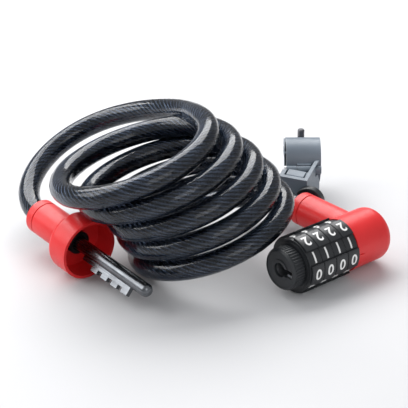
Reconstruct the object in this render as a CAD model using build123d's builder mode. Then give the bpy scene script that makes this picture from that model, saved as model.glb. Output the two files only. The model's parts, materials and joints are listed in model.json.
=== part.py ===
from build123d import *
import os
from math import cos, pi, radians, sin, tan

# Self-coiling cable combination lock, unlocked, lying beside its frame bracket.
# Millimetres, +Z up, Z = 0 is the surface that everything lies on.
# The lock barrel lies along +X and its cable socket points along +Y. The bolt end lies
# on the rim of its bell, with its bolt pointing along -Y and tipping down a little.

os.makedirs("parts", exist_ok=True)

# ---- driving dimensions -------------------------------------------------------------
running_gap = 0.05          # radial clearance of every running fit
cable_radius = 6.0

# Lock barrel: distances run along +X from the knob's face.
lock_face_x = -17.8
lock_axis_y = -55.7
dial_radius = 15.8
dial_count = 4
digit_count = 10
dial_pitch = 8.6
dial_gap = 0.3
knob_radius = 11.2
knob_length = 7.5
collar_length = 1.3
first_dial = 9.1
housing_radius = 14.8
lock_length = 71.0
socket_station = 60.0
socket_radius = 9.4
socket_reach = 47.0
index_angle = 183.0         # where the zeros line up, seen from the knob, +Y = 0, +Z = 90
slot_angle = 183.0          # where the bolt's fin enters
core_radius = 7.0
gate_radius = 10.95
tooth_chamber_radius = 8.6

# Bolt and keyhole.
rod_radius = 3.6
keyhole_radius = 4.0
fin_radius = 5.8
fin_thickness = 2.6
tooth_radius = 8.2
tooth_length = 5.0
first_tooth = 11.6
bolt_reach = 52.0
bolt_root = 20.0
fin_angle = 233.0           # seen against the bolt's tip, +X = 0, up = 90

# Bell of the bolt end: distances run from its mouth towards the cable.
bell_mouth_x = -80.9
bell_mouth_y = 24.5
bell_tip_down = 4.0
bell_radius = 16.6
bell_inner_radius = 15.0
bell_length = 16.0
bell_depth = 13.0
bolt_socket_radius = 9.7
bolt_end_length = 46.5
root_collar_radius = 6.4

# Cable ends, the same in both sockets.
ferrule_radius = 7.4
ferrule_length = 22.0
lip_length = 4.0
pin_radius = 1.5

# Frame bracket.
bracket_x = 75.7
bracket_y = 25.8
bracket_turn = -40.0        # direction of the clamped tube's axis about Z
holder_turn = -65.0
clamp_height = 24.3
clamp_width = 20.2
jaw_radius = 13.2
liner_radius = 10.8
tube_radius = 10.0
jaw_gap = 1.5
screw_radius = 2.0
screw_offset = 17.4
hinge_offset = 14.6

# ---- planes and measures worked out from them --------------------------------------
lock_axis_z = dial_radius
lock_plane = Plane((lock_face_x, lock_axis_y, lock_axis_z), x_dir=(0, 1, 0), z_dir=(1, 0, 0))
socket_x = lock_face_x + socket_station
lock_socket_end = lock_axis_y + socket_reach
lock_socket_plane = Plane((socket_x, lock_socket_end, lock_axis_z), x_dir=(1, 0, 0), z_dir=(0, 1, 0))
housing_start = first_dial + dial_count * dial_pitch

tip_sin = sin(radians(bell_tip_down))
tip_cos = cos(radians(bell_tip_down))
bell_mouth_z = bell_radius * tip_cos
bolt_plane = Plane(
    (bell_mouth_x, bell_mouth_y, bell_mouth_z), x_dir=(1, 0, 0), z_dir=(0, -tip_cos, -tip_sin)
)
bolt_socket_plane = Plane(
    bolt_plane.offset(-bolt_end_length).origin, x_dir=(1, 0, 0), z_dir=(0, tip_cos, tip_sin)
)

tube_dir = (cos(radians(bracket_turn)), sin(radians(bracket_turn)), 0)
back_dir = (-tube_dir[1], tube_dir[0], 0)
tube_plane = Plane((bracket_x, bracket_y, clamp_height), x_dir=back_dir, z_dir=tube_dir)
clamp_plane = Plane((bracket_x, bracket_y, clamp_height), x_dir=tube_dir, z_dir=(0, 0, 1))
holder_dir = (cos(radians(holder_turn)), sin(radians(holder_turn)), 0)
holder_back = (-holder_dir[1], holder_dir[0], 0)
holder_plane = Plane((bracket_x, bracket_y, 0), x_dir=holder_dir, z_dir=(0, 0, 1))
holder_side = Plane((bracket_x, bracket_y, 0), x_dir=holder_back, z_dir=holder_dir)


def finish(builder, label):
    """Name the sub-part and write it to its own file."""
    builder.part.label = label
    export_step(builder.part, f"parts/{label}.step")
    return builder.part


def polar(radius, angle):
    """Point at a radius and an angle in degrees on a plane."""
    return (radius * cos(radians(angle)), radius * sin(radians(angle)))


def fin_slot(width, reach, angle):
    """Sketch a slot from the axis outwards at an angle, inside a BuildSketch."""
    with Locations(polar(reach / 2, angle)):
        Rectangle(reach, width, rotation=angle)


# ---- reset knob: ribbed, with the keyhole that takes the bolt ----------------------
rib_count = 44
rib_radius = 0.45
rib_start = 1.6
ring_groove_radius = 8.1
ring_start = 1.7
ring_end = 2.6
keyhole_reach = 8.6
keyhole_width = 4.4
face_recess_radius = 10.1
face_recess_depth = 0.5

with BuildPart() as reset_knob:
    with BuildSketch(lock_plane):
        Circle(knob_radius)
    extrude(amount=knob_length)
    chamfer(reset_knob.faces().sort_by(Axis.X)[0].edges(), 1.0)
    with BuildSketch(lock_plane.offset(rib_start)):
        with PolarLocations(knob_radius, rib_count):
            Circle(rib_radius)
    extrude(amount=knob_length - rib_start)
    with BuildSketch(lock_plane):
        Circle(face_recess_radius)
        Circle(keyhole_radius + 1.6, mode=Mode.SUBTRACT)
    extrude(amount=face_recess_depth, mode=Mode.SUBTRACT)
    with BuildSketch(lock_plane):
        Circle(keyhole_radius)
        fin_slot(keyhole_width, keyhole_reach, slot_angle)
    extrude(amount=knob_length, mode=Mode.SUBTRACT)
    with BuildSketch(lock_plane.offset(ring_start - running_gap)):
        Circle(ring_groove_radius)
    extrude(amount=ring_end - ring_start + 2 * running_gap, mode=Mode.SUBTRACT)
    with BuildSketch(lock_plane.offset(ring_end)):
        Circle(core_radius + running_gap)
    extrude(amount=knob_length - ring_end, mode=Mode.SUBTRACT)
finish(reset_knob, "reset_knob")

# ---- ring that keeps the knob on the core -------------------------------------------
with BuildPart() as knob_retaining_ring:
    with BuildSketch(lock_plane.offset(ring_start)):
        Circle(ring_groove_radius - running_gap)
        Circle(keyhole_radius, mode=Mode.SUBTRACT)
        with Locations(polar(keyhole_reach / 2, slot_angle)):
            Rectangle(keyhole_reach, keyhole_width, rotation=slot_angle, mode=Mode.SUBTRACT)
    extrude(amount=ring_end - ring_start)
finish(knob_retaining_ring, "knob_retaining_ring")

# ---- slotted core tube that the dials turn on ---------------------------------------
core_end = housing_start + 5.8
core_slot_width = 3.4

with BuildPart() as core_tube:
    with BuildSketch(lock_plane.offset(ring_end)):
        Circle(core_radius)
        Circle(keyhole_radius, mode=Mode.SUBTRACT)
        with Locations(polar(core_radius / 2 + 2, slot_angle)):
            Rectangle(core_radius + 4, core_slot_width, rotation=slot_angle, mode=Mode.SUBTRACT)
    extrude(amount=core_end - ring_end)
finish(core_tube, "core_tube")

# ---- stepped collar between the knob and the first dial -----------------------------
collar_start = knob_length + 0.15
collar_step_radius = 13.1
collar_radius = 14.7

with BuildPart() as dial_collar:
    with BuildSketch(lock_plane.offset(collar_start)):
        Circle(collar_step_radius)
    extrude(amount=collar_length)
    with BuildSketch(lock_plane.offset(collar_start + collar_length / 2)):
        Circle(collar_radius)
    extrude(amount=collar_length / 2)
    with BuildSketch(lock_plane.offset(collar_start)):
        Circle(core_radius)
        fin_slot(keyhole_width, keyhole_reach, slot_angle)
    extrude(amount=collar_length, mode=Mode.SUBTRACT)
finish(dial_collar, "dial_collar")

# ---- number dials: even digits on raised pads, odd digits in recesses ---------------
dial_width = dial_pitch - dial_gap
digit_step = 360 / digit_count
recess_floor = 14.4
recess_width = 8.4
gate_web = 2.2
gate_web_start = 5.9        # each tooth rests just behind its dial's web
gate_slot_width = 3.8

for number in range(1, dial_count + 1):
    dial_start = first_dial + (number - 1) * dial_pitch
    with BuildPart() as dial:
        with BuildSketch(lock_plane.offset(dial_start)):
            Circle(dial_radius)
        extrude(amount=dial_width)
        chamfer(dial.edges().filter_by(GeomType.CIRCLE), 0.35)
        with BuildSketch(lock_plane.offset(dial_start)):
            with PolarLocations(recess_floor, digit_count // 2, index_angle - digit_step):
                Rectangle(4.0, recess_width)
            Circle(recess_floor, mode=Mode.SUBTRACT)
        extrude(amount=dial_width, mode=Mode.SUBTRACT)
        with BuildSketch(lock_plane.offset(dial_start)):
            Circle(gate_radius + running_gap)
        extrude(amount=dial_width, mode=Mode.SUBTRACT)
    finish(dial, f"dial_{number}")

    # Gate ring: one slot in its web lets the bolt's tooth through.
    with BuildPart() as gate_ring:
        with BuildSketch(lock_plane.offset(dial_start)):
            Circle(gate_radius)
            Circle(core_radius + running_gap, mode=Mode.SUBTRACT)
        extrude(amount=dial_width)
        with BuildSketch(lock_plane.offset(dial_start)):
            Circle(tooth_chamber_radius)
        extrude(amount=gate_web_start, mode=Mode.SUBTRACT)
        with BuildSketch(lock_plane.offset(dial_start + dial_width)):
            Circle(tooth_chamber_radius)
        extrude(amount=gate_web_start + gate_web - dial_width, mode=Mode.SUBTRACT)
        with BuildSketch(lock_plane.offset(dial_start)):
            fin_slot(gate_slot_width, keyhole_reach, slot_angle)
        extrude(amount=dial_width, mode=Mode.SUBTRACT)
    finish(gate_ring, f"gate_ring_{number}")

# ---- lock housing: barrel end with the cable socket ---------------------------------
end_round = 6.0
plunger_bore_radius = 6.7
plunger_bore_end = 67.0
groove_offset = 5.5
groove_width = 0.7
groove_depth = 0.5
index_length = 4.0
index_width = 1.4
index_height = 0.5

with BuildPart() as lock_housing:
    with BuildSketch(lock_plane.offset(housing_start)):
        Circle(housing_radius)
    extrude(amount=lock_length - housing_start)
    fillet(lock_housing.edges().filter_by(GeomType.CIRCLE).sort_by(Axis.X)[-1], end_round)
    with BuildSketch(lock_socket_plane):
        Circle(socket_radius)
    extrude(amount=-socket_reach)
    socket_rim = lock_housing.edges().filter_by(GeomType.CIRCLE).sort_by(Axis.Y)[-1]
    fillet(socket_rim, 1.2)
    with BuildSketch(lock_socket_plane.offset(-groove_offset)):
        Circle(socket_radius + 1)
        Circle(socket_radius - groove_depth, mode=Mode.SUBTRACT)
    extrude(amount=-groove_width, mode=Mode.SUBTRACT)
    with BuildSketch(lock_plane.offset(housing_start)):
        Circle(core_radius)
        fin_slot(keyhole_width, keyhole_reach, slot_angle)
    extrude(amount=core_end - housing_start, mode=Mode.SUBTRACT)
    with BuildSketch(lock_plane.offset(core_end)):
        Circle(plunger_bore_radius)
    extrude(amount=plunger_bore_end - core_end, mode=Mode.SUBTRACT)
    with BuildSketch(lock_socket_plane):
        Circle(cable_radius + running_gap)
    extrude(amount=-lip_length, mode=Mode.SUBTRACT)
    with BuildSketch(lock_socket_plane.offset(-lip_length)):
        Circle(ferrule_radius)
    extrude(amount=-ferrule_length, mode=Mode.SUBTRACT)
    with BuildSketch(lock_socket_plane.offset(-lip_length - ferrule_length / 2)):
        with Locations((0, socket_radius / 2 + 0.5)):
            Rectangle(2 * pin_radius, socket_radius + 1)
    extrude(amount=pin_radius, both=True, mode=Mode.SUBTRACT)
    with BuildSketch(lock_plane.offset(housing_start)):
        with Locations(polar(housing_radius, index_angle)):
            Rectangle(2 * index_height, index_width, rotation=index_angle)
    extrude(amount=index_length)
finish(lock_housing, "lock_housing")

# ---- sprung plunger that pushes the bolt out ----------------------------------------
plunger_start = core_end + 0.6
plunger_head = 1.6
plunger_radius = 6.6
spring_radius = 4.6
spring_wire = 0.5
spring_turns = 3

with BuildPart() as eject_plunger:
    with BuildSketch(lock_plane.offset(plunger_start)):
        Circle(plunger_radius)
    extrude(amount=plunger_head)
    chamfer(eject_plunger.edges(), 0.3)
finish(eject_plunger, "eject_plunger")

spring_start = plunger_start + plunger_head + spring_wire + running_gap
spring_end = plunger_bore_end - spring_wire - running_gap
spring_height = spring_end - spring_start

with BuildPart() as eject_spring:
    with BuildLine() as spring_line:
        Helix(
            spring_height / spring_turns,
            spring_height,
            spring_radius,
            center=lock_plane.offset(spring_start).origin,
            direction=(1, 0, 0),
        )
    with BuildSketch(Plane(spring_line.line @ 0, z_dir=spring_line.line % 0)):
        Circle(spring_wire)
    sweep(is_frenet=True)
finish(eject_spring, "eject_spring")


# ---- crimped ferrules and their pins -------------------------------------------------
def make_ferrule(socket_plane, label):
    """Crimped sleeve on the cable's end, inside its socket, bored for the cross pin."""
    with BuildPart() as ferrule:
        with BuildSketch(socket_plane.offset(-lip_length)):
            Circle(ferrule_radius)
        extrude(amount=-ferrule_length)
        with BuildSketch(socket_plane.offset(-lip_length - ferrule_length / 2)):
            with Locations((0, ferrule_radius / 2 + 0.5)):
                Rectangle(2 * pin_radius, ferrule_radius + 1)
        extrude(amount=pin_radius, both=True, mode=Mode.SUBTRACT)
    return finish(ferrule, label)


def make_cross_pin(socket_plane, outer_radius, label):
    """Square pin through the socket's wall into the ferrule, flush with the outside."""
    pin_clearance = 0.3
    with BuildPart() as pin:
        with BuildSketch(socket_plane.offset(-lip_length - ferrule_length / 2)):
            with Locations((0, (outer_radius - pin_clearance) / 2)):
                Rectangle(2 * pin_radius, outer_radius - pin_clearance)
        extrude(amount=pin_radius, both=True)
    return finish(pin, label)


make_ferrule(lock_socket_plane, "lock_cable_ferrule")
make_cross_pin(lock_socket_plane, socket_radius, "lock_ferrule_pin")

# ---- bolt housing: bell that covers the knob, with the cable socket behind it --------
bolt_socket_end = -bolt_end_length
shoulder_round = 3.5
bell_rib = 1.4

with BuildPart() as bolt_housing:
    with BuildSketch(bolt_plane):
        Circle(bell_radius)
    extrude(amount=-bell_length)
    fillet(bolt_housing.faces().sort_by(Axis.Y)[-1].edges(), shoulder_round)
    with BuildSketch(bolt_plane):
        Circle(bolt_socket_radius)
    extrude(amount=bolt_socket_end)
    fillet(bolt_housing.faces().sort_by(Axis.Y)[-1].edges(), 1.2)
    with BuildSketch(bolt_plane.offset(bolt_socket_end + groove_offset)):
        Circle(bolt_socket_radius + 1)
        Circle(bolt_socket_radius - groove_depth, mode=Mode.SUBTRACT)
    extrude(amount=groove_width, mode=Mode.SUBTRACT)
    with BuildSketch(bolt_plane):
        Circle(bell_inner_radius)
    extrude(amount=-bell_depth, mode=Mode.SUBTRACT)
    with BuildSketch(bolt_plane.offset(-bell_depth)):
        with Locations(polar(bell_inner_radius - bell_rib / 2, fin_angle - 90)):
            Rectangle(2 * bell_rib, bell_rib, rotation=fin_angle - 90)
    extrude(amount=bell_depth - 2)
    with BuildSketch(bolt_plane):
        Circle(root_collar_radius)
    extrude(amount=-bolt_root, mode=Mode.SUBTRACT)
    with BuildSketch(bolt_plane.offset(bolt_socket_end)):
        Circle(cable_radius + running_gap)
    extrude(amount=lip_length, mode=Mode.SUBTRACT)
    with BuildSketch(bolt_plane.offset(bolt_socket_end + lip_length)):
        Circle(ferrule_radius)
    extrude(amount=-bolt_socket_end - lip_length - bolt_root, mode=Mode.SUBTRACT)
    with BuildSketch(bolt_socket_plane.offset(-lip_length - ferrule_length / 2)):
        with Locations((0, bolt_socket_radius / 2 + 0.5)):
            Rectangle(2 * pin_radius, bolt_socket_radius + 1)
    extrude(amount=pin_radius, both=True, mode=Mode.SUBTRACT)
finish(bolt_housing, "bolt_housing")

# ---- bolt: rod, fin and one tooth for each dial --------------------------------------
fin_end = first_tooth + (dial_count - 1) * dial_pitch + tooth_length / 2
rod_tip_round = 3.2

with BuildPart() as bolt_key:
    with BuildSketch(bolt_plane.offset(-bolt_root)):
        Circle(rod_radius)
    extrude(amount=bolt_root + bolt_reach)
    fillet(bolt_key.faces().sort_by(Axis.Y)[0].edges(), rod_tip_round)
    with BuildSketch(bolt_plane):
        fin_slot(fin_thickness, fin_radius, fin_angle)
    extrude(amount=fin_end)
    for tooth in range(dial_count):
        tooth_station = first_tooth + tooth * dial_pitch - tooth_length / 2
        with BuildSketch(bolt_plane.offset(tooth_station)):
            fin_slot(fin_thickness, tooth_radius, fin_angle)
        extrude(amount=tooth_length)
finish(bolt_key, "bolt_key")

# ---- root collar that holds the bolt in the bell's back wall --------------------------
collar_front = -9.3

with BuildPart() as bolt_root_collar:
    with BuildSketch(bolt_plane.offset(collar_front)):
        Circle(root_collar_radius)
        Circle(rod_radius, mode=Mode.SUBTRACT)
    extrude(amount=-bolt_root - collar_front)
    chamfer(bolt_root_collar.edges().filter_by(GeomType.CIRCLE).sort_by(Axis.Y)[1], 0.6)
finish(bolt_root_collar, "bolt_root_collar")

make_ferrule(bolt_socket_plane, "bolt_cable_ferrule")
make_cross_pin(bolt_socket_plane, bolt_socket_radius, "bolt_ferrule_pin")

# ---- cable: two plain tubes and the outer shape of the coil ---------------------------
# The coil is a leaning stack of turns: each turn's circle is tilted, with its right-hand
# side up, and its centre moves down and across from one turn to the next.
coil_turns = 5.0
coil_start_centre = Vector(-57.8, 35.7, 68.4)
coil_travel = Vector(38.3, -39.7, -48.4)
coil_bulge = Vector(4.3, -5.5, 3.5)
coil_start_radius = 46.8
coil_end_radius = 43.1
coil_tilt = 16.8
coil_top_turn = 1.05
coil_bottom_turn = 4.9
coil_cut_gap = 0.8          # the outer shape stands back from the two ends that lie beside it
knob_clear = 4.0
bolt_approach = 90.0        # the keyhole is kept clear of the outer shape this far in front


def coil_centre(turn):
    """Centre of the coil's circle after a number of turns from its top."""
    share = turn / coil_turns
    return coil_start_centre + coil_travel * share + coil_bulge * (4 * share * (1 - share))


def coil_radius(turn):
    """Radius of the cable's centre line at a turn."""
    return coil_start_radius + (coil_end_radius - coil_start_radius) * turn / coil_turns


coil_uphill = Vector(
    cos(radians(coil_tilt)) * tube_dir[0], cos(radians(coil_tilt)) * tube_dir[1], sin(radians(coil_tilt))
)
coil_normal = coil_uphill.cross(Vector(*back_dir))


def coil_plane(turn, side):
    """Plane of a turn's upper (side 1) or lower (side -1) surface."""
    surface = coil_centre(turn) + coil_normal * (side * cable_radius)
    return Plane(surface, x_dir=coil_uphill, z_dir=coil_normal)


with BuildPart() as cable_coil:
    with BuildSketch(coil_plane(coil_bottom_turn, -1)):
        Circle(coil_radius(coil_bottom_turn) + cable_radius)
    with BuildSketch(coil_plane(coil_top_turn, 1)):
        Circle(coil_radius(coil_top_turn) + cable_radius)
    loft()
    with BuildSketch(coil_plane(coil_bottom_turn, -1)):
        Circle(coil_radius(coil_bottom_turn) - cable_radius)
    with BuildSketch(coil_plane(coil_top_turn, 1)):
        Circle(coil_radius(coil_top_turn) - cable_radius)
    loft(mode=Mode.SUBTRACT)
    with BuildSketch(bolt_plane):
        Circle(bell_radius + coil_cut_gap)
    extrude(amount=-bell_length - coil_cut_gap, mode=Mode.SUBTRACT)
    with BuildSketch(bolt_plane):
        Circle(tooth_radius + coil_cut_gap)
    extrude(amount=bolt_reach + coil_cut_gap, mode=Mode.SUBTRACT)
    with BuildSketch(lock_plane.offset(-knob_clear)):
        Circle(dial_radius + coil_cut_gap)
    extrude(amount=lock_length + knob_clear, mode=Mode.SUBTRACT)
    with BuildSketch(lock_plane):
        Circle(keyhole_radius + coil_cut_gap)
    extrude(amount=-bolt_approach, mode=Mode.SUBTRACT)
finish(cable_coil, "cable_coil")

bolt_tail_route = [
    bolt_socket_plane.offset(-lip_length).origin,
    bolt_socket_plane.offset(4.4).origin,
    Vector(-76.8, 88.2, 22.3),
    Vector(-68.2, 99.4, 25.9),
    Vector(-56.5, 107.1, 30.9),
    Vector(-42.8, 110.5, 36.9),
    Vector(-28.9, 108.6, 43.3),
    Vector(-16.9, 102.0, 49.2),
    Vector(-7.5, 91.5, 54.7),
    Vector(-0.9, 76.7, 60.2),
    Vector(1.5, 59.1, 65.5),
    Vector(-0.2, 41.5, 70.4),
]
lock_tail_route = [
    Vector(socket_x, lock_socket_end - lip_length, lock_axis_z),
    Vector(socket_x, -1.1, 15.8),
    Vector(38.7, 10.2, 16.0),
    Vector(32.2, 19.7, 15.8),
    Vector(23.3, 26.5, 15.2),
    Vector(13.4, 30.4, 14.2),
]


def corner_radii(route):
    """Largest tidy arc at each corner: 0.45 of its shorter run over tan(half the turn)."""
    radii = []
    for before, corner, after in zip(route, route[1:], route[2:]):
        run_in = corner - before
        run_out = after - corner
        half_turn = radians(run_in.get_angle(run_out)) / 2
        radii.append(0.45 * min(run_in.length, run_out.length) / tan(half_turn))
    return radii


def make_tail(route, label):
    """Plain tube along straight runs joined by tangent arcs."""
    radii = corner_radii(route)
    with BuildPart() as tail:
        with BuildLine():
            path = FilletPolyline(*route, radius=radii)
        with BuildSketch(Plane(path @ 0, z_dir=path % 0)):
            Circle(cable_radius)
        sweep()
    section_volume = pi * cable_radius**2 * path.length
    print(label, "radii", [round(radius, 1) for radius in radii])
    print(label, "length", round(path.length, 1), "volume ratio", tail.part.volume / section_volume)
    return finish(tail, label)


make_tail(bolt_tail_route, "cable_tail_bolt")
make_tail(lock_tail_route, "cable_tail_lock")

# ---- frame bracket: two hinged jaws around the bicycle's tube -------------------------
half_gap = jaw_gap / 2
half_width = clamp_width / 2
ear_thickness = 3.6
ear_end = screw_offset + 4.6
knuckle_radius = 2.4
hinge_pin_radius = 1.2
knuckle_width = 8.0
knuckle_gap = 0.2
foot_top = 5.3
foot_half_depth = 9.0
pivot_radius = 2.5
pivot_grip = 4.0


def jaw_half(side):
    """Sketch one jaw's half ring and its ear; side is 1 above the joint and -1 below."""
    Circle(jaw_radius)
    Circle(liner_radius, mode=Mode.SUBTRACT)
    with Locations((0, side * (half_gap - jaw_radius))):
        Rectangle(3 * jaw_radius, 2 * jaw_radius, mode=Mode.SUBTRACT)
    ear_start = (jaw_radius + liner_radius) / 2
    with Locations(((ear_start + ear_end) / 2, side * (half_gap + ear_thickness / 2))):
        Rectangle(ear_end - ear_start, ear_thickness)
    Circle(liner_radius, mode=Mode.SUBTRACT)


def knuckle_profile(side):
    """Sketch a hinge knuckle and the web that ties it to its jaw."""
    web_inner = liner_radius + 0.6
    web_middle = ((hinge_offset + web_inner) / -2, side * (half_gap + knuckle_radius / 2))
    with Locations(web_middle):
        Rectangle(hinge_offset - web_inner, knuckle_radius)
    with Locations((-hinge_offset, 0)):
        Circle(knuckle_radius)
        Circle(hinge_pin_radius + running_gap, mode=Mode.SUBTRACT)


with BuildPart() as bracket_upper_jaw:
    with BuildSketch(tube_plane.offset(-half_width)):
        jaw_half(1)
    extrude(amount=clamp_width)
    with BuildSketch(tube_plane.offset(-half_width)):
        with Locations((-hinge_offset, 0)):
            Circle(knuckle_radius + knuckle_gap)
    extrude(amount=clamp_width, mode=Mode.SUBTRACT)
    with BuildSketch(tube_plane.offset(-knuckle_width / 2)):
        knuckle_profile(1)
    extrude(amount=knuckle_width)
    with BuildSketch(clamp_plane):
        with Locations((0, screw_offset)):
            Circle(screw_radius + running_gap)
    extrude(amount=half_gap + ear_thickness, mode=Mode.SUBTRACT)
finish(bracket_upper_jaw, "bracket_upper_jaw")

outer_knuckle = half_width - knuckle_width / 2 - knuckle_gap
screw_slot_radius = 3.0

with BuildPart() as bracket_lower_jaw:
    with BuildSketch(tube_plane.offset(-half_width)):
        jaw_half(-1)
    extrude(amount=clamp_width)
    with BuildSketch(tube_plane.offset(-half_width)):
        with Locations((-hinge_offset, 0)):
            Circle(knuckle_radius + knuckle_gap)
    extrude(amount=clamp_width, mode=Mode.SUBTRACT)
    for knuckle_start in (-half_width, knuckle_width / 2 + knuckle_gap):
        with BuildSketch(tube_plane.offset(knuckle_start)):
            knuckle_profile(-1)
        extrude(amount=outer_knuckle)
    with BuildSketch(tube_plane.offset(-foot_half_depth)):
        with Locations((0, (foot_top - clamp_height - liner_radius - 1.2) / 2)):
            Rectangle(2 * foot_half_depth, clamp_height - foot_top - liner_radius - 1.2)
    extrude(amount=2 * foot_half_depth)
    with BuildSketch(clamp_plane):
        with Locations((0, screw_offset)):
            Circle(screw_slot_radius)
    extrude(amount=-half_gap - ear_thickness, mode=Mode.SUBTRACT)
    with BuildSketch(holder_plane.offset(foot_top)):
        Circle(pivot_radius)
    extrude(amount=pivot_grip, mode=Mode.SUBTRACT)
finish(bracket_lower_jaw, "bracket_lower_jaw")

# ---- hinge pin with a flat head on its left end ---------------------------------------
pin_head_radius = 2.3
pin_head_length = 1.2

with BuildPart() as bracket_hinge_pin:
    with BuildSketch(tube_plane.offset(-half_width)):
        with Locations((-hinge_offset, 0)):
            Circle(hinge_pin_radius)
    extrude(amount=clamp_width)
    with BuildSketch(tube_plane.offset(-half_width - knuckle_gap)):
        with Locations((-hinge_offset, 0)):
            Circle(pin_head_radius)
    extrude(amount=-pin_head_length)
    with BuildSketch(tube_plane.offset(-half_width - knuckle_gap)):
        with Locations((-hinge_offset, 0)):
            Circle(hinge_pin_radius)
    extrude(amount=knuckle_gap)
finish(bracket_hinge_pin, "bracket_hinge_pin")


# ---- rubber liners between the jaws and the tube --------------------------------------
def make_liner(side, label):
    """Half ring of rubber inside one jaw."""
    with BuildPart() as liner:
        with BuildSketch(tube_plane.offset(-half_width + 0.6)):
            Circle(liner_radius)
            Circle(tube_radius, mode=Mode.SUBTRACT)
            with Locations((0, side * (half_gap - jaw_radius))):
                Rectangle(3 * jaw_radius, 2 * jaw_radius, mode=Mode.SUBTRACT)
        extrude(amount=clamp_width - 1.2)
    return finish(liner, label)


make_liner(1, "bracket_upper_liner")
make_liner(-1, "bracket_lower_liner")

# ---- clamp screw: head below, end standing up above the upper jaw ----------------------
screw_top = 36.6 - clamp_height
head_gap = 2.4
head_height = 3.6
head_radius = 3.5
socket_size = 3.0
head_top = -half_gap - ear_thickness - head_gap

with BuildPart() as bracket_screw:
    with BuildSketch(clamp_plane.offset(head_top)):
        with Locations((0, screw_offset)):
            Circle(screw_radius)
    extrude(amount=screw_top - head_top)
    chamfer(bracket_screw.faces().sort_by(Axis.Z)[-1].edges(), 0.5)
    with BuildSketch(clamp_plane.offset(head_top)):
        with Locations((0, screw_offset)):
            Circle(head_radius)
    extrude(amount=-head_height)
    with BuildSketch(clamp_plane.offset(head_top - head_height)):
        with Locations((0, screw_offset)):
            RegularPolygon(socket_size / 2, 6, major_radius=False)
    extrude(amount=2.0, mode=Mode.SUBTRACT)
finish(bracket_screw, "bracket_screw")

# ---- holder block under the clamp, with the latch's pocket in its sloping top ----------
base_radius = 10.5
base_thickness = 5.0
block_left = -4.0
block_right = 13.5
shoulder_right = 20.0
shoulder_height = 17.0
shoulder_depth = 5.0
block_front = -27.0
block_back = -6.0
block_low = 24.0
block_high = 30.2
pocket_left = -1.6
pocket_right = 11.2
pocket_depth = 3.4
jaw_clearance = 0.8
pin_end_clearance = 2.0
knuckle_room = knuckle_radius + jaw_clearance
foot_room = foot_half_depth + jaw_clearance
knob_x = 16.6
knob_height = 13.4
knob_stem_radius = 2.5
knob_stem_length = 4.0
bracket_knob_gap = 0.3
knob_plane = Plane(
    holder_plane.from_local_coords((knob_x, block_front - bracket_knob_gap, knob_height)),
    x_dir=holder_dir,
    z_dir=(-holder_back[0], -holder_back[1], 0),
)

slope = Vector(block_back - block_front, block_high - block_low)
slope_length = slope.length
slope_dir = Vector(
    holder_back[0] * slope.X / slope_length, holder_back[1] * slope.X / slope_length, slope.Y / slope_length
)
slope_origin = holder_plane.from_local_coords((0, block_front, block_low))
slope_plane = Plane(slope_origin, x_dir=holder_dir, z_dir=Vector(*holder_dir).cross(slope_dir))
pocket_front = 2.2
pocket_back = slope_length + 2

with BuildPart() as bracket_holder:
    with BuildSketch(holder_side.offset(block_left)):
        with BuildLine():
            Polyline(
                (block_front, 0), (block_front, block_low), (block_back, block_high), (block_back, 0), close=True
            )
        make_face()
    extrude(amount=block_right - block_left)
    with BuildSketch(holder_plane):
        with Locations(((block_right + shoulder_right) / 2 - 1, block_front + shoulder_depth / 2)):
            Rectangle(shoulder_right - block_right + 2, shoulder_depth)
    extrude(amount=shoulder_height)
    with BuildSketch(holder_plane):
        Circle(base_radius)
        with Locations(((block_left + block_right) / 2, block_front / 2)):
            Rectangle(block_right - block_left, -block_front)
    extrude(amount=base_thickness)
    with BuildSketch(slope_plane):
        with Locations(((pocket_left + pocket_right) / 2, (pocket_front + pocket_back) / 2)):
            Rectangle(pocket_right - pocket_left, pocket_back - pocket_front)
    extrude(amount=-pocket_depth, mode=Mode.SUBTRACT)
    with BuildSketch(holder_plane):
        Circle(pivot_radius)
    extrude(amount=base_thickness, mode=Mode.SUBTRACT)
    with BuildSketch(knob_plane):
        Circle(knob_stem_radius + running_gap)
    extrude(amount=-knob_stem_length - bracket_knob_gap, mode=Mode.SUBTRACT)
    with BuildSketch(tube_plane.offset(-half_width - pin_end_clearance)):
        Circle(jaw_radius + jaw_clearance)
        with Locations((-(hinge_offset + knuckle_room) / 2, 0)):
            Rectangle(hinge_offset + knuckle_room, 2 * knuckle_room)
        with Locations((-foot_room / 2, (base_thickness - clamp_height) / 2)):
            Rectangle(foot_room, clamp_height - base_thickness)
    extrude(amount=clamp_width + 2 * pin_end_clearance, mode=Mode.SUBTRACT)
finish(bracket_holder, "bracket_holder")

# ---- latch tongue, rooted at the front of the sloping top -------------------------------
tongue_gap = 1.1
tongue_thickness = 1.6
tongue_width = pocket_right - pocket_left - 2 * tongue_gap
tongue_end = 7.6

tongue_root = pocket_front + running_gap + tongue_thickness / 2
tongue_plane = Plane(
    slope_plane.from_local_coords((pocket_left + tongue_gap, 0, -tongue_thickness / 2)),
    x_dir=slope_dir,
    z_dir=holder_dir,
)

with BuildPart() as bracket_latch:
    with BuildSketch(tongue_plane):
        with Locations((tongue_root, 0)):
            Circle(tongue_thickness / 2)
        with Locations(((tongue_root + tongue_end) / 2, 0)):
            Rectangle(tongue_end - tongue_root, tongue_thickness)
    extrude(amount=tongue_width)
finish(bracket_latch, "bracket_latch")

# ---- pivot rivet that ties the clamp's foot to the holder -------------------------------
rivet_start = 0.4

with BuildPart() as bracket_pivot:
    with BuildSketch(holder_plane.offset(rivet_start)):
        Circle(pivot_radius)
    extrude(amount=foot_top + pivot_grip - rivet_start)
finish(bracket_pivot, "bracket_pivot")

# ---- round knob on the holder's front -----------------------------------------------------
bracket_knob_radius = 8.6
bracket_knob_thickness = 5.0

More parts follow.
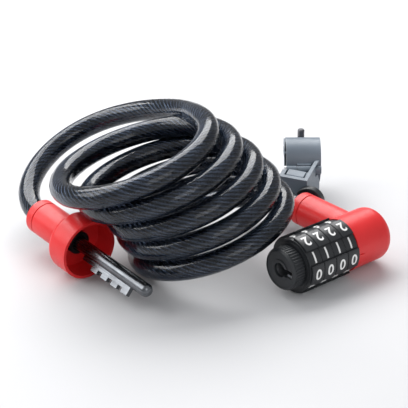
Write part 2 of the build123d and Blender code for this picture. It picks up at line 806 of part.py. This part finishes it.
with BuildPart() as bracket_knob:
    with BuildSketch(knob_plane):
        Circle(bracket_knob_radius)
    extrude(amount=bracket_knob_thickness)
    fillet(bracket_knob.edges(), 0.8)
    with BuildSketch(knob_plane):
        Circle(knob_stem_radius)
    extrude(amount=-knob_stem_length)
finish(bracket_knob, "bracket_knob")
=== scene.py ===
import json
from math import cos, pi, radians, sin

import bmesh
import bpy
import numpy as np
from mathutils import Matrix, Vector


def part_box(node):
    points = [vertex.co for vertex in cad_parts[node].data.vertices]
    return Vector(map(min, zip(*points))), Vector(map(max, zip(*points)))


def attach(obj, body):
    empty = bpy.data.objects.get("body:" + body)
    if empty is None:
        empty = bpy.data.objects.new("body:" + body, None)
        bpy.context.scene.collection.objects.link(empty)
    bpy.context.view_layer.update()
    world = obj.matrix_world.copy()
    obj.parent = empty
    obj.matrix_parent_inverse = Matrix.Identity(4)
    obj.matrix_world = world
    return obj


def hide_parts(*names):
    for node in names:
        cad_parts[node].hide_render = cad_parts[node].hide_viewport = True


# Self-coiling cable combination lock with its frame bracket. Everything is in metres in
# the part's own frame: +X along the dial barrel, +Y along its cable socket, +Z up.

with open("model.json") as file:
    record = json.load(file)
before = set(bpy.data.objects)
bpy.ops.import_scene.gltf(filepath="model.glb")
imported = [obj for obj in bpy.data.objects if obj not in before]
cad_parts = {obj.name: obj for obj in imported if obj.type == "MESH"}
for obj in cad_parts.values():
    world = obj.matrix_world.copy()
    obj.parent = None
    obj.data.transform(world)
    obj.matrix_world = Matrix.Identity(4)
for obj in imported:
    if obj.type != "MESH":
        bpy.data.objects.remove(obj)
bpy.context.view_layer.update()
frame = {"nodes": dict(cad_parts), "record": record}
nodes = frame["nodes"]
mounts = {mount["name"]: mount for mount in frame["record"]["mounts"]}
mm = 0.001

# ---- camera --------------------------------------------------------------------------
# It looks along a direction turned 40 degrees about Z from the barrel's own axes.
view_turn = radians(-40)
view_elevation = radians(25.6)
view_distance = 0.764
view_target = Vector((-15.9, 7.4, 30.0)) * mm
view_lens = 123.7
sensor_width = 36
across = Vector((cos(view_turn), sin(view_turn), 0))
away = Vector((-sin(view_turn), cos(view_turn), 0))
up = Vector((0, 0, 1))


def aim(obj, target):
    """Turn an object so that its -Z axis points at the target."""
    obj.rotation_euler = (target - obj.location).to_track_quat("-Z", "Y").to_euler()


def make_camera():
    camera = bpy.data.objects.new("camera", bpy.data.cameras.new("camera"))
    bpy.context.collection.objects.link(camera)
    back_off = away * -cos(view_elevation) + up * sin(view_elevation)
    camera.location = view_target + back_off * view_distance
    aim(camera, view_target)
    camera.data.lens = view_lens
    camera.data.sensor_width = sensor_width
    bpy.context.scene.camera = camera


make_camera()
# The plain view transform keeps the red plastic saturated.
bpy.context.scene.view_settings.view_transform = "Standard"

# ---- the cable's line ------------------------------------------------------------------
# Its uncoiled stretches are lists of points, and its coil is worked out turn by turn.
cable_diameter = 12 * mm
bell_mouth = Vector((-80.9, 24.5, 16.56)) * mm
bell_tip = radians(4)
bolt_back = Vector((0, cos(bell_tip), sin(bell_tip)))
bolt_end_length = 46.5 * mm
lip_length = 4 * mm

# The lock's socket, in millimetres: the cable enters it along -Y.
socket_x = 42.2
lock_socket_y = -8.7
socket_z = 15.8

bolt_stretch = [
    bell_mouth + bolt_back * (bolt_end_length - lip_length),
    bell_mouth + bolt_back * (bolt_end_length + 4.4 * mm),
    Vector((-76.8, 88.2, 22.3)) * mm,
    Vector((-68.2, 99.4, 25.9)) * mm,
    Vector((-56.5, 107.1, 30.9)) * mm,
    Vector((-42.8, 110.5, 36.9)) * mm,
    Vector((-28.9, 108.6, 43.3)) * mm,
    Vector((-16.9, 102.0, 49.2)) * mm,
    Vector((-7.5, 91.5, 54.7)) * mm,
    Vector((-0.9, 76.7, 60.2)) * mm,
    Vector((1.5, 59.1, 65.5)) * mm,
    Vector((-0.2, 41.5, 70.4)) * mm,
]
lock_stretch = [
    Vector((13.4, 30.4, 14.2)) * mm,
    Vector((23.3, 26.5, 15.2)) * mm,
    Vector((32.2, 19.7, 15.8)) * mm,
    Vector((38.7, 10.2, 16.0)) * mm,
    Vector((socket_x, -1.1, socket_z)) * mm,
    Vector((socket_x, lock_socket_y, socket_z)) * mm - Vector((0, lip_length, 0)),
]

coil_turns = 5
coil_first = 0.52
coil_last = 5.29
points_per_turn = 18
coil_start_centre = Vector((-57.8, 35.7, 68.4)) * mm
coil_travel = Vector((38.3, -39.7, -48.4)) * mm
coil_bulge = Vector((4.3, -5.5, 3.5)) * mm
coil_start_radius = 46.8 * mm
coil_end_radius = 43.1 * mm
coil_waist = 1.5 * mm
coil_tilt = radians(16.8)
coil_phase = 0.08
coil_right = across * cos(coil_tilt) + up * sin(coil_tilt)

# The coil lies against the bell of the bolt end, and bends round it over a short way.
bell_length = 16 * mm
bell_clearance = 23.1 * mm
bell_ease = 18 * mm


def clear_of_bell(point):
    """Move a point of the cable's line away from the bell's axis, where it is too close."""
    behind = (point - bell_mouth).dot(bolt_back)
    outward = point - bell_mouth - bolt_back * behind
    beyond = max(-behind, behind - bell_length, 0)
    ease = max(1 - beyond / bell_ease, 0)
    push = max(bell_clearance - outward.length, 0) * ease * ease * (3 - 2 * ease)
    return point + outward.normalized() * push


def coil_point(turn):
    """Point of the coil's line after a number of turns from its top, clockwise from above."""
    share = turn / coil_turns
    bow = 4 * share * (1 - share)
    centre = coil_start_centre + coil_travel * share + coil_bulge * bow
    radius = coil_start_radius + (coil_end_radius - coil_start_radius) * share - coil_waist * bow
    angle = 2 * pi * (turn - coil_phase)
    point = centre - coil_right * (radius * cos(angle)) + away * (radius * sin(angle))
    return clear_of_bell(point)


def coil_stretch():
    """Points of the coil's line, evenly spaced in turns."""
    turns = coil_last - coil_first
    steps = round(turns * points_per_turn)
    return [coil_point(coil_first + turns * step / steps) for step in range(steps + 1)]


def link(obj):
    bpy.context.collection.objects.link(obj)
    return obj


def nurbs_line(name, points):
    """Curve object of one open NURBS spline with the points as its control points."""
    curve = bpy.data.curves.new(name, "CURVE")
    curve.dimensions = "3D"
    curve.resolution_u = 8
    spline = curve.splines.new("NURBS")
    spline.points.add(len(points) - 1)
    for place, point in zip(spline.points, points):
        place.co = (*point, 1)
    spline.order_u = 3
    spline.use_endpoint_u = True
    return link(bpy.data.objects.new(name, curve))


cable_route = bolt_stretch + coil_stretch() + lock_stretch
cable_sleeve = nurbs_line("cable_sleeve", cable_route)


def line_points(curve_object):
    """Points along a bare curve object, in order."""
    line = bpy.data.meshes.new_from_object(curve_object)
    points = np.array([vertex.co for vertex in line.vertices])
    bpy.data.meshes.remove(line)
    return points


cable_line = line_points(cable_sleeve)
cable_sleeve.data.bevel_depth = cable_diameter / 2
cable_sleeve.data.bevel_resolution = 7


# ---- materials -------------------------------------------------------------------------
# Noise hardly leaves this band, so tones and sheen are spread over it.
noise_low = 0.3
noise_high = 0.7


def new_material(name, colour, roughness, metallic=0.0):
    """Principled material of one colour; the recipes below add its grain and variation."""
    material = bpy.data.materials.new(name)
    material.use_nodes = True
    shader = material.node_tree.nodes["Principled BSDF"]
    shader.inputs["Base Color"].default_value = (*colour, 1)
    shader.inputs["Roughness"].default_value = roughness
    shader.inputs["Metallic"].default_value = metallic
    return material, shader


def noise(tree, scale, detail=3.0, stretch=None):
    """Noise in the part's own coordinates, scale in cells per metre."""
    place = tree.nodes.new("ShaderNodeTexCoord")
    texture = tree.nodes.new("ShaderNodeTexNoise")
    texture.inputs["Scale"].default_value = scale
    texture.inputs["Detail"].default_value = detail
    source = place.outputs["Object"]
    if stretch:
        mapping = tree.nodes.new("ShaderNodeMapping")
        mapping.inputs["Scale"].default_value = stretch
        tree.links.new(source, mapping.inputs["Vector"])
        source = mapping.outputs["Vector"]
    tree.links.new(source, texture.inputs["Vector"])
    return texture.outputs["Fac"]


def tint(tree, shader, factor, dark, light):
    """Vary the base colour between two tones."""
    ramp = tree.nodes.new("ShaderNodeValToRGB")
    ramp.color_ramp.elements[0].position = noise_low
    ramp.color_ramp.elements[1].position = noise_high
    ramp.color_ramp.elements[0].color = (*dark, 1)
    ramp.color_ramp.elements[1].color = (*light, 1)
    tree.links.new(factor, ramp.inputs["Fac"])
    tree.links.new(ramp.outputs["Color"], shader.inputs["Base Color"])


def vary_roughness(tree, shader, factor, low, high):
    """Vary the roughness between two values."""
    span = tree.nodes.new("ShaderNodeMapRange")
    span.inputs["From Min"].default_value = noise_low
    span.inputs["From Max"].default_value = noise_high
    span.inputs["To Min"].default_value = low
    span.inputs["To Max"].default_value = high
    tree.links.new(factor, span.inputs["Value"])
    tree.links.new(span.outputs["Result"], shader.inputs["Roughness"])


def grain(tree, shader, height, depth, edge=0.0, strength=1.0):
    """Bump of a given depth in metres, over softened edges of a given radius."""
    bump = tree.nodes.new("ShaderNodeBump")
    bump.inputs["Distance"].default_value = depth
    bump.inputs["Strength"].default_value = strength
    tree.links.new(height, bump.inputs["Height"])
    if edge:
        bevel = tree.nodes.new("ShaderNodeBevel")
        bevel.samples = 4
        bevel.inputs["Radius"].default_value = edge
        tree.links.new(bevel.outputs["Normal"], bump.inputs["Normal"])
    tree.links.new(bump.outputs["Normal"], shader.inputs["Normal"])


def moulded_plastic(name, dark, light, roughness, grain_depth, edge=0.25 * mm, specular=0.5):
    """Moulded plastic: slow tone changes, uneven sheen and a fine spark-eroded grain."""
    tone_scale, sheen_scale, grain_scale = 55, 240, 3800
    sheen_spread = 0.06
    material, shader = new_material(name, light, roughness)
    tree = material.node_tree
    tint(tree, shader, noise(tree, tone_scale), dark, light)
    sheen = noise(tree, sheen_scale)
    vary_roughness(tree, shader, sheen, roughness - sheen_spread, roughness + sheen_spread)
    grain(tree, shader, noise(tree, grain_scale, 2.0), grain_depth, edge)
    shader.inputs["Specular IOR Level"].default_value = specular
    return material


def worked_metal(name, dark, light, roughness, stretch, edge=0.12 * mm):
    """Plated metal with fine drawn or ground lines along one direction."""
    tone_scale, line_scale = 130, 1500
    line_depth = 0.01 * mm
    material, shader = new_material(name, light, roughness, metallic=1.0)
    tree = material.node_tree
    lines = noise(tree, line_scale, 4.0, stretch)
    tint(tree, shader, noise(tree, tone_scale), dark, light)
    vary_roughness(tree, shader, lines, roughness - 0.08, roughness + 0.1)
    grain(tree, shader, lines, line_depth, edge, 0.6)
    return material


def clear_sleeve():
    """Smoked clear PVC over the strands, with a faint ripple in its surface."""
    tone_scale, sheen_scale, ripple_scale = 35, 160, 420
    ripple_depth = 0.02 * mm
    material, shader = new_material("smoked_pvc", (0.50, 0.54, 0.60), 0.12)
    tree = material.node_tree
    tint(tree, shader, noise(tree, tone_scale), (0.40, 0.46, 0.56), (0.52, 0.59, 0.70))
    vary_roughness(tree, shader, noise(tree, sheen_scale), 0.10, 0.17)
    grain(tree, shader, noise(tree, ripple_scale, 2.0), ripple_depth, 0.0, 0.5)
    shader.inputs["Transmission Weight"].default_value = 1.0
    shader.inputs["IOR"].default_value = 1.45
    return material


red_plastic = moulded_plastic(
    "red_plastic",
    dark=(0.68, 0.012, 0.014),
    light=(0.76, 0.020, 0.022),
    roughness=0.38,
    grain_depth=0.02 * mm,
)
black_plastic = moulded_plastic(
    "black_plastic",
    dark=(0.011, 0.012, 0.014),
    light=(0.018, 0.020, 0.023),
    roughness=0.34,
    grain_depth=0.03 * mm,
)
knob_plastic = moulded_plastic(
    "knob_plastic",
    dark=(0.016, 0.018, 0.021),
    light=(0.026, 0.029, 0.033),
    roughness=0.44,
    grain_depth=0.05 * mm,
)
bracket_plastic = moulded_plastic(
    "bracket_plastic",
    dark=(0.125, 0.155, 0.190),
    light=(0.165, 0.200, 0.240),
    roughness=0.40,
    grain_depth=0.03 * mm,
    edge=0.35 * mm,
)
dark_knob_plastic = moulded_plastic(
    "dark_knob_plastic",
    dark=(0.008, 0.010, 0.013),
    light=(0.013, 0.016, 0.020),
    roughness=0.40,
    grain_depth=0.03 * mm,
    edge=0.35 * mm,
)
liner_rubber = moulded_plastic(
    "liner_rubber",
    dark=(0.010, 0.010, 0.010),
    light=(0.018, 0.018, 0.018),
    roughness=0.75,
    grain_depth=0.06 * mm,
    edge=0.1 * mm,
    specular=0.3,
)
white_ink = moulded_plastic(
    "white_ink",
    dark=(0.80, 0.80, 0.78),
    light=(0.90, 0.90, 0.89),
    roughness=0.50,
    grain_depth=0.02 * mm,
    edge=0.03 * mm,
)
bolt_steel = worked_metal(
    "bolt_steel",
    dark=(0.12, 0.125, 0.135),
    light=(0.19, 0.20, 0.215),
    roughness=0.24,
    stretch=(1.0, 0.06, 1.0),
)
root_steel = worked_metal(
    "root_steel",
    dark=(0.020, 0.020, 0.022),
    light=(0.032, 0.031, 0.033),
    roughness=0.50,
    stretch=(1.0, 0.06, 1.0),
)
pin_steel = worked_metal(
    "pin_steel",
    dark=(0.42, 0.43, 0.45),
    light=(0.55, 0.56, 0.58),
    roughness=0.30,
    stretch=(1.0, 1.0, 0.1),
)
screw_steel = worked_metal(
    "screw_steel",
    dark=(0.10, 0.10, 0.11),
    light=(0.16, 0.16, 0.17),
    roughness=0.35,
    stretch=(1.0, 1.0, 0.2),
)
cast_zinc = worked_metal(
    "cast_zinc",
    dark=(0.40, 0.41, 0.43),
    light=(0.52, 0.53, 0.55),
    roughness=0.42,
    stretch=(0.4, 1.0, 1.0),
)
strand_steel = worked_metal(
    "strand_steel",
    dark=(0.032, 0.040, 0.054),
    light=(0.100, 0.118, 0.150),
    roughness=0.30,
    stretch=(1.0, 1.0, 1.0),
    edge=0.0,
)
smoked_pvc = clear_sleeve()

node_materials = {
    "lock_housing": red_plastic,
    "bolt_housing": red_plastic,
    "reset_knob": knob_plastic,
    "dial_collar": black_plastic,
    "bolt_key": bolt_steel,
    "bolt_root_collar": root_steel,
    "lock_ferrule_pin": red_plastic,
    "bolt_ferrule_pin": red_plastic,
    "eject_spring": pin_steel,
    "bracket_hinge_pin": pin_steel,
    "bracket_pivot": pin_steel,
    "bracket_screw": screw_steel,
    "bracket_upper_jaw": bracket_plastic,
    "bracket_lower_jaw": bracket_plastic,
    "bracket_holder": bracket_plastic,
    "bracket_latch": bracket_plastic,
    "bracket_knob": dark_knob_plastic,
    "bracket_upper_liner": liner_rubber,
    "bracket_lower_liner": liner_rubber,
}
for name, node in nodes.items():
    if name.startswith("dial_") and name != "dial_collar":
        node_materials[name] = black_plastic
    material = node_materials.get(name, cast_zinc)
    if not node.data.materials:
        node.data.materials.append(material)
    for slot in node.material_slots:
        slot.material = material


# ---- cable: twisted steel strands inside a clear sleeve ----------------------------------
def evenly(points, step):
    """The same line with its points an even distance apart."""
    runs = np.linalg.norm(np.diff(points, axis=0), axis=1)
    along = np.concatenate([[0], np.cumsum(runs)])
    stations = np.linspace(0, along[-1], round(along[-1] / step) + 1)
    return stations, np.stack([np.interp(stations, along, points[:, axis]) for axis in range(3)], axis=1)


def carried_frames(points):
    """Two directions square to the line at each point, carried along it without twist."""
    tangents = np.gradient(points, axis=0)
    tangents /= np.linalg.norm(tangents, axis=1)[:, None]
    side = np.cross(tangents[0], [0, 0, 1])
    sides = []
    for tangent in tangents:
        side = side - tangent * side.dot(tangent)
        side = side / np.linalg.norm(side)
        sides.append(side)
    sides = np.array(sides)
    return sides, np.cross(tangents, sides)


def tube_mesh(name, lines, radius, sides):
    """One mesh of round tubes, each along its own line of points, with closed ends."""
    mesh = bpy.data.meshes.new(name)
    vertices = []
    faces = []
    turn = np.arange(sides) * 2 * pi / sides
    for line in lines:
        first, second = carried_frames(line)
        ring = radius * (first[:, None] * np.cos(turn)[:, None] + second[:, None] * np.sin(turn)[:, None])
        base = len(vertices)
        vertices.extend((line[:, None] + ring).reshape(-1, 3).tolist())
        for station in range(len(line) - 1):
            row = base + station * sides
            for corner in range(sides):
                beside = (corner + 1) % sides
                faces.append((row + corner, row + beside, row + sides + beside, row + sides + corner))
        last = base + (len(line) - 1) * sides
        faces.append(tuple(base + corner for corner in reversed(range(sides))))
        faces.append(tuple(last + corner for corner in range(sides)))
    mesh.from_pydata(vertices, [], faces)
    mesh.shade_smooth()
    return link(bpy.data.objects.new(name, mesh))


# Sizes inside the sleeve: the strands' lay is the length of one full twist.
strand_count = 12
strand_radius = 1.0 * mm
strand_circle = 4.0 * mm
strand_lay = 42 * mm
core_radius = 3.3 * mm
line_step = 1.8 * mm
strand_sides = 8
core_sides = 10


def make_strands():
    """Outer wires of the steel rope, twisted round the cable's line, and the core below them."""
    stations, centre = evenly(cable_line, line_step)
    first, second = carried_frames(centre)
    strands = []
    for strand in range(strand_count):
        turn = 2 * pi * (strand / strand_count + stations / strand_lay)[:, None]
        strands.append(centre + strand_circle * (first * np.cos(turn) + second * np.sin(turn)))
    wires = tube_mesh("cable_strands", strands, strand_radius, strand_sides)
    wires.data.materials.append(strand_steel)
    core = tube_mesh("cable_core", [centre], core_radius, core_sides)
    core.data.materials.append(strand_steel)
    return wires, core


cable_sleeve.data.materials.append(smoked_pvc)
cable_wires, cable_core = make_strands()
for piece in (cable_sleeve, cable_wires, cable_core):
    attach(piece, "lock")
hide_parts("cable_coil", "cable_tail_bolt", "cable_tail_lock")

# ---- numbers on the dials ------------------------------------------------------------------
dial_count = 4
digit_count = 10
digit_height = 6.0 * mm
digit_boldness = 0.15 * mm
digit_relief = 0.06 * mm
index_angle = radians(183)
pad_radius = 15.8 * mm
recess_floor = 14.4 * mm
barrel = Vector(mounts["keyhole"]["pos_m"])
digit_share = 0.71          # a digit's height over its font's size
digit_cuts = 12
weld_distance = 0.001 * mm


def digit_mesh(digit):
    """Thin solid of one digit, centred, cut across so that it can be wrapped."""
    text = bpy.data.curves.new("digit", "FONT")
    text.body = "I" if digit == 1 else str(digit)
    text.size = digit_height / digit_share
    text.offset = digit_boldness
    text.extrude = digit_relief
    text.align_x = "CENTER"
    holder = link(bpy.data.objects.new("digit", text))
    mesh = bpy.data.meshes.new_from_object(holder)
    bpy.data.objects.remove(holder)
    shape = bmesh.new()
    shape.from_mesh(mesh)
    bpy.data.meshes.remove(mesh)
    bmesh.ops.remove_doubles(shape, verts=shape.verts, dist=weld_distance)
    high = max(vertex.co.y for vertex in shape.verts)
    low = min(vertex.co.y for vertex in shape.verts)
    for vertex in shape.verts:
        vertex.co.y -= (high + low) / 2
    for cut in range(1, digit_cuts):
        level = (cut / digit_cuts - 0.5) * (high - low)
        everything = shape.verts[:] + shape.edges[:] + shape.faces[:]
        bmesh.ops.bisect_plane(shape, geom=everything, plane_co=(0, level, 0), plane_no=(0, 1, 0))
    return shape


def on_barrel(angle, radius):
    """Offset from the barrel's axis to a point at an angle and a radius."""
    return Vector((0, cos(angle), sin(angle))) * radius


def make_digits(number):
    """The ten raised white digits of one dial, even on its pads and odd in its recesses."""
    low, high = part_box(f"dial_{number}")
    middle = (low.x + high.x) / 2
    mesh = bpy.data.meshes.new(f"dial_{number}_digits")
    whole = bmesh.new()
    for digit in range(digit_count):
        shape = digit_mesh(digit)
        centre_angle = index_angle - 2 * pi * digit / digit_count
        for vertex in shape.verts:
            sideways, along, raised = vertex.co
            floor = recess_floor if digit % 2 else pad_radius
            spot = on_barrel(centre_angle + along / floor, floor + raised)
            vertex.co = Vector((middle - sideways, barrel.y, barrel.z)) + spot
        piece = bpy.data.meshes.new("piece")
        shape.to_mesh(piece)
        shape.free()
        whole.from_mesh(piece)
        bpy.data.meshes.remove(piece)
    whole.to_mesh(mesh)
    whole.free()
    digits = link(bpy.data.objects.new(f"dial_{number}_digits", mesh))
    mesh.materials.append(white_ink)
    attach(digits, f"dial_{number}")
    return digits


for dial_number in range(1, dial_count + 1):
    make_digits(dial_number)

# ---- thread on the clamp screw ----------------------------------------------------------------
thread_pitch = 0.8 * mm
thread_radius = 1.98 * mm
thread_ridge = 0.16 * mm
thread_steps = 20           # points in one turn
thread_sides = 6
screw_chamfer = 0.7 * mm
ear_drop = 8.8 * mm         # from the top of the upper jaw to the top of its ear


def make_screw_thread():
    """Fine helical ridge on the screw's free end, above the upper jaw's ear."""
    low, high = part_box("bracket_screw")
    ear_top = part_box("bracket_upper_jaw")[1].z - ear_drop
    centre = (low + high) / 2
    height = high.z - screw_chamfer - ear_top
    steps = round(height / thread_pitch * thread_steps)
    turn = np.arange(steps + 1) * 2 * pi / thread_steps
    line = np.stack(
        [
            centre.x + thread_radius * np.cos(turn),
            centre.y + thread_radius * np.sin(turn),
            ear_top + turn / (2 * pi) * thread_pitch,
        ],
        axis=1,
    )
    thread = tube_mesh("clamp_screw_thread", [line], thread_ridge, thread_sides)
    thread.data.materials.append(screw_steel)
    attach(thread, "clamp_screw")


make_screw_thread()


# ---- floor, backdrop and light -------------------------------------------------------------------
def make_sweep():
    """Pale floor that curves up into a backdrop behind the object."""
    material, shader = new_material("studio_paper", (0.62, 0.62, 0.63), 0.75)
    tree = material.node_tree
    tint(tree, shader, noise(tree, 6), (0.60, 0.60, 0.61), (0.63, 0.63, 0.64))
    grain(tree, shader, noise(tree, 900, 2.0), 0.03 * mm)
    half_width = 4.0
    floor_front = -3.0
    bend_start = 1.6
    bend_radius = 0.9
    bend_steps = 16
    wall_top = 4.0
    profile = [(floor_front, 0.0), (bend_start, 0.0)]
    for step in range(1, bend_steps + 1):
        turn = pi / 2 * step / bend_steps
        profile.append((bend_start + bend_radius * sin(turn), bend_radius * (1 - cos(turn))))
    profile.append((bend_start + bend_radius, wall_top))
    vertices = []
    for depth, height in profile:
        for side in (-half_width, half_width):
            vertices.append(across * side + away * depth + up * height)
    faces = []
    for step in range(len(profile) - 1):
        row = 2 * step
        faces.append((row, row + 1, row + 3, row + 2))
    mesh = bpy.data.meshes.new("studio_sweep")
    mesh.from_pydata(vertices, [], faces)
    mesh.shade_smooth()
    mesh.materials.append(material)
    link(bpy.data.objects.new("studio_sweep", mesh))


def soft_light(name, side, depth, height, width, length, watts):
    """Area light placed across, away and up from the object, aimed at it."""
    data = bpy.data.lights.new(name, "AREA")
    data.shape = "RECTANGLE"
    data.size = width
    data.size_y = length
    data.energy = watts
    light = link(bpy.data.objects.new(name, data))
    light.location = view_target + across * side + away * depth + up * height
    aim(light, view_target)


def make_world():
    """Even, faintly cool light from all round."""
    world = bpy.data.worlds.new("studio")
    world.use_nodes = True
    background = world.node_tree.nodes["Background"]
    background.inputs["Color"].default_value = (0.95, 0.97, 1.0, 1)
    background.inputs["Strength"].default_value = 0.52
    bpy.context.scene.world = world


make_sweep()
make_world()
soft_light("back_softbox", side=-0.25, depth=0.75, height=0.95, width=1.6, length=0.9, watts=24)
soft_light("left_softbox", side=-1.0, depth=-0.1, height=0.7, width=0.7, length=0.9, watts=7)
soft_light("front_fill", side=0.5, depth=-1.2, height=0.8, width=0.9, length=0.9, watts=3.5)
